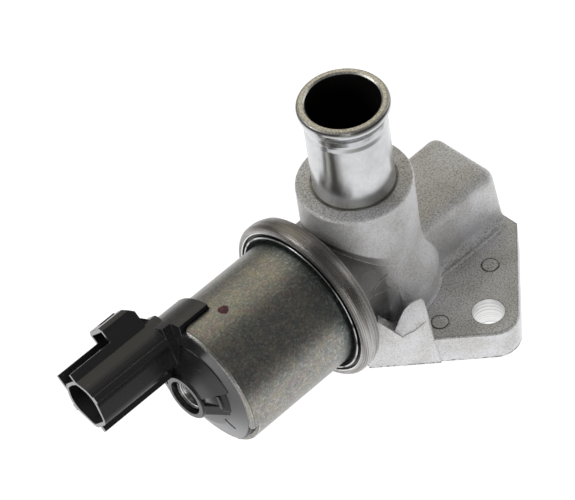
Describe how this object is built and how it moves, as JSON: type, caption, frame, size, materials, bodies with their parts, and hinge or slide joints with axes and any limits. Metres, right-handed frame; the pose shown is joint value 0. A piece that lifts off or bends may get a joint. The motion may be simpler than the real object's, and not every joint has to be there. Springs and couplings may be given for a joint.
{
  "type": "idle air control valve",
  "caption": "Solenoid air valve with a cast body, two-bolt flange, hose nipple and two-pin plug socket.",
  "frame": {"origin": "on the flange's mounting face, under the hose nipple's axis", "axes": "+X along the solenoid, from the nipple towards the connector's open end; +Z along the hose nipple, away from the mounting face; +Y towards the bolt hole that the picture shows"},
  "size_m": [0.1278, 0.0743, 0.0794],
  "materials": {
    "cast_alloy": "sand-textured die casting",
    "bright_tube": "bright turned tube",
    "brass": "turned",
    "spring_steel": "drawn wire",
    "ground_steel": "ground",
    "seal_rubber": "moulded",
    "soft_iron": "turned",
    "plated_can": "dull zinc plating",
    "bright_ring": "plated",
    "bobbin_plastic": "moulded",
    "magnet_wire": "enamelled copper wire",
    "black_plastic": "moulded",
    "tinned_contact": "tinned"
  },
  "bodies": {
    "valve_body": {"valve_housing": "cast_alloy", "hose_nipple": "bright_tube", "seat_ring": "brass", "front_bush": "brass", "housing_o_ring": "seal_rubber", "base_plate": "soft_iron", "balance_spring": "spring_steel", "solenoid_can": "plated_can", "can_collar": "bright_ring", "guide_sleeve": "brass", "coil_bobbin": "bobbin_plastic", "coil_winding": "magnet_wire", "return_spring": "spring_steel", "pole_core": "soft_iron", "rear_yoke": "soft_iron", "adjuster_screw": "bright_ring", "cap_seal": "seal_rubber", "connector_cap": "black_plastic", "terminal_left": "tinned_contact", "terminal_right": "tinned_contact"},
    "plunger": {"armature": "soft_iron", "valve_rod": "ground_steel", "poppet": "brass", "rod_clip": "spring_steel"}
  },
  "joints": [
    {"name": "valve_stroke", "type": "slide", "parent": "valve_body", "child": "plunger", "axis": [1, 0, 0], "range_m": [0, 0.0035], "stiffness_N_per_m": 800, "springref_m": -0.0015, "deforming": ["return_spring", "balance_spring"]}
  ]
}
